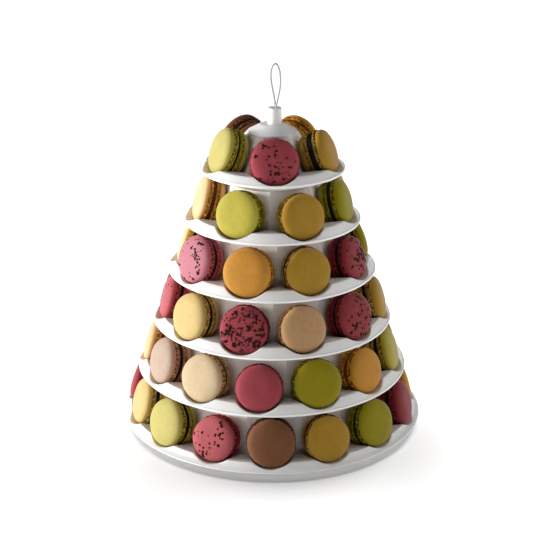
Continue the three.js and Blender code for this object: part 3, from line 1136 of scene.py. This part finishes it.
# The wire's course: across, in half widths, and up, as a share of the loop's height.
LOOP_COURSE = (
    (-0.05, -0.1), (-0.02, 0.06), (-0.35, 0.28), (-0.85, 0.56), (-1, 0.78), (-0.62, 0.94),
    (0.05, 1), (0.62, 0.92), (0.96, 0.73), (1, 0.52), (0.62, 0.28), (0.18, 0.08),
    (0.08, -0.1))
LEG_GAP = 1.05  # from the middle plane to the wire's middle, at its two ends
BORE_RADIUS = 2.6  # the hollow in the grip's top, and how deep and wide its floor is
BORE_FLOOR_RADIUS = 2.4
BORE_DEPTH = 4.5
GRIP_ROUNDING = 0.6
GRIP_COLUMNS = 72


def grip():
    bottom = GRIP_TOP - BORE_DEPTH
    profile = rounded([
        (POLE, GRIP_FOOT), (GRIP_RADIUS, GRIP_FOOT), (GRIP_RADIUS, GRIP_TOP),
        (BORE_RADIUS, GRIP_TOP), (BORE_FLOOR_RADIUS, bottom), (POLE, bottom),
    ], GRIP_ROUNDING)
    piece = turned("handle_grip", profile, GRIP_COLUMNS, WHITE, (GRIP_OUT, 0.0))
    sharpen(piece, CREASE_ANGLE)
    return piece


def loop():
    """A wire swept along a smooth course, up one side and down the other."""
    curve = bpy.data.curves.new("handle_loop", "CURVE")
    curve.dimensions = "3D"
    curve.bevel_depth = WIRE_RADIUS * MM
    curve.bevel_resolution = 5
    curve.resolution_u = 10
    curve.use_fill_caps = True
    spline = curve.splines.new("NURBS")
    last = len(LOOP_COURSE) - 1
    spline.points.add(last)
    height = LOOP_TOP - WIRE_RADIUS - GRIP_TOP
    for i, (across, up) in enumerate(LOOP_COURSE):
        x = LOOP_OUT + across * LOOP_HALF_WIDTH
        y = LEG_GAP * (1 - 2 * i / last)
        spline.points[i].co = (x * MM, y * MM, (GRIP_TOP + up * height) * MM, 1)
    spline.order_u = 3
    spline.use_endpoint_u = True
    piece = bpy.data.objects.new("handle_loop", curve)
    bpy.context.scene.collection.objects.link(piece)
    curve.materials.append(WIRE)
    return piece


# ---- camera, floor and light ----

LENS = 95.8
CAMERA_PLACE = (0.0, -1.1134, 0.5342 - BASE_BELLY * MM)
CAMERA_PITCH = -20.29
CAMERA_YAW = -0.08
CAMERA_ROLL = 0.15
FLOOR_GLOW = 0.15
FLOOR_HALF = 30000


def camera():
    data = bpy.data.cameras.new("camera")
    data.lens = LENS
    data.clip_start = 0.05
    made = bpy.data.objects.new("camera", data)
    made.location = CAMERA_PLACE
    turn = (Matrix.Rotation(math.radians(-CAMERA_YAW), 4, "Z")
            @ Matrix.Rotation(math.radians(90 + CAMERA_PITCH), 4, "X")
            @ Matrix.Rotation(math.radians(CAMERA_ROLL), 4, "Z"))
    made.rotation_euler = turn.to_euler()
    bpy.context.scene.collection.objects.link(made)
    bpy.context.scene.camera = made


def floor():
    """A wide white sheet with a faint glow, so that the shadow round the base is pale."""
    finish = Finish("floor_white")
    finish.set(Base_Color=(0.93, 0.93, 0.93, 1), Roughness=0.9, Specular_IOR_Level=0.1,
               Emission_Color=(1, 1, 1, 1), Emission_Strength=FLOOR_GLOW)
    corners = [(x * FLOOR_HALF, y * FLOOR_HALF, 0)
               for x, y in ((-1, -1), (1, -1), (1, 1), (-1, 1))]
    made = new_piece("floor", corners, [(0, 1, 2, 3)], [finish.material])
    return made


def lamp(name, azimuth, elevation, strength, spread):
    """A far soft light. Azimuth 0 is the front, and it grows to the right."""
    data = bpy.data.lights.new(name, "SUN")
    data.energy = strength
    data.angle = math.radians(spread)
    made = bpy.data.objects.new(name, data)
    a, e = math.radians(azimuth), math.radians(elevation)
    towards = Vector((math.sin(a) * math.cos(e), -math.cos(a) * math.cos(e), math.sin(e)))
    made.rotation_euler = towards.to_track_quat("Z", "Y").to_euler()
    bpy.context.scene.collection.objects.link(made)
    return made


def limit(lights, thing, how):
    """Lets these lights shine on one thing alone ("INCLUDE") or on all but it
    ("EXCLUDE")."""
    group = bpy.data.collections.new(f"lit_{how.lower()}")
    group.objects.link(thing)
    group.collection_objects[0].light_linking.link_state = how
    for light in lights:
        light.light_linking.receiver_collection = group


def studio(sheet):
    limit([lamp("key_left", -90, 8, 4.26, 16), lamp("key_front", -60, 15, 0.93, 50),
           lamp("fill_right", 95, 20, 1.25, 60), lamp("overhead", 60, 80, 0.28, 60)],
          sheet, "EXCLUDE")
    limit([lamp("sheet_right", 150, 56, 2.3, 35), lamp("sheet_left", -135, 56, 2.3, 35)],
          sheet, "INCLUDE")
    world = bpy.data.worlds.new("room")
    world.use_nodes = True
    world.node_tree.nodes["Background"].inputs["Color"].default_value = (1, 1, 1, 1)
    world.node_tree.nodes["Background"].inputs["Strength"].default_value = 0.0
    bpy.context.scene.world = world
    bpy.context.scene.view_settings.view_transform = "Standard"


# ---- the tower ----


def build():
    camera()
    studio(floor())
    stand = [tray(plan) for plan in plans] + [cap()]
    for piece in stand:
        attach(piece, "root")
        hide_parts("stand")
    for piece, node, slot in ((grip(), "grip", "stand_plastic"),
                              (loop(), "loop", "loop_wire")):
        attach(piece, "root")
        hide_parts(node)
    placed = {}
    order = 0
    for plan in plans:
        flavours = TRAY_FLAVOURS[plan.number].split()
        index = 0
        while index < plan.count:
            pair = plan.lowest and index in LEANING
            places = [index, index + 1] if pair else [index]
            members = [macaron_at(plan, i, order) for i in places]
            placed.update({(plan.number, i): m for i, m in zip(places, members)})
            ends = "_".join(f"{i + 1:02d}" for i in places)
            node = f"{'macarons' if pair else 'macaron'}_{plan.number + 1}_{ends}"
            flavour = flavours[index]
            piece = macaron_piece(f"baked_{node}", members, flavour)
            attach(piece, "root")
            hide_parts(node)
            index += len(places)
            order += 1
    chips = crumbs(placed)
    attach(chips, "root")


build()
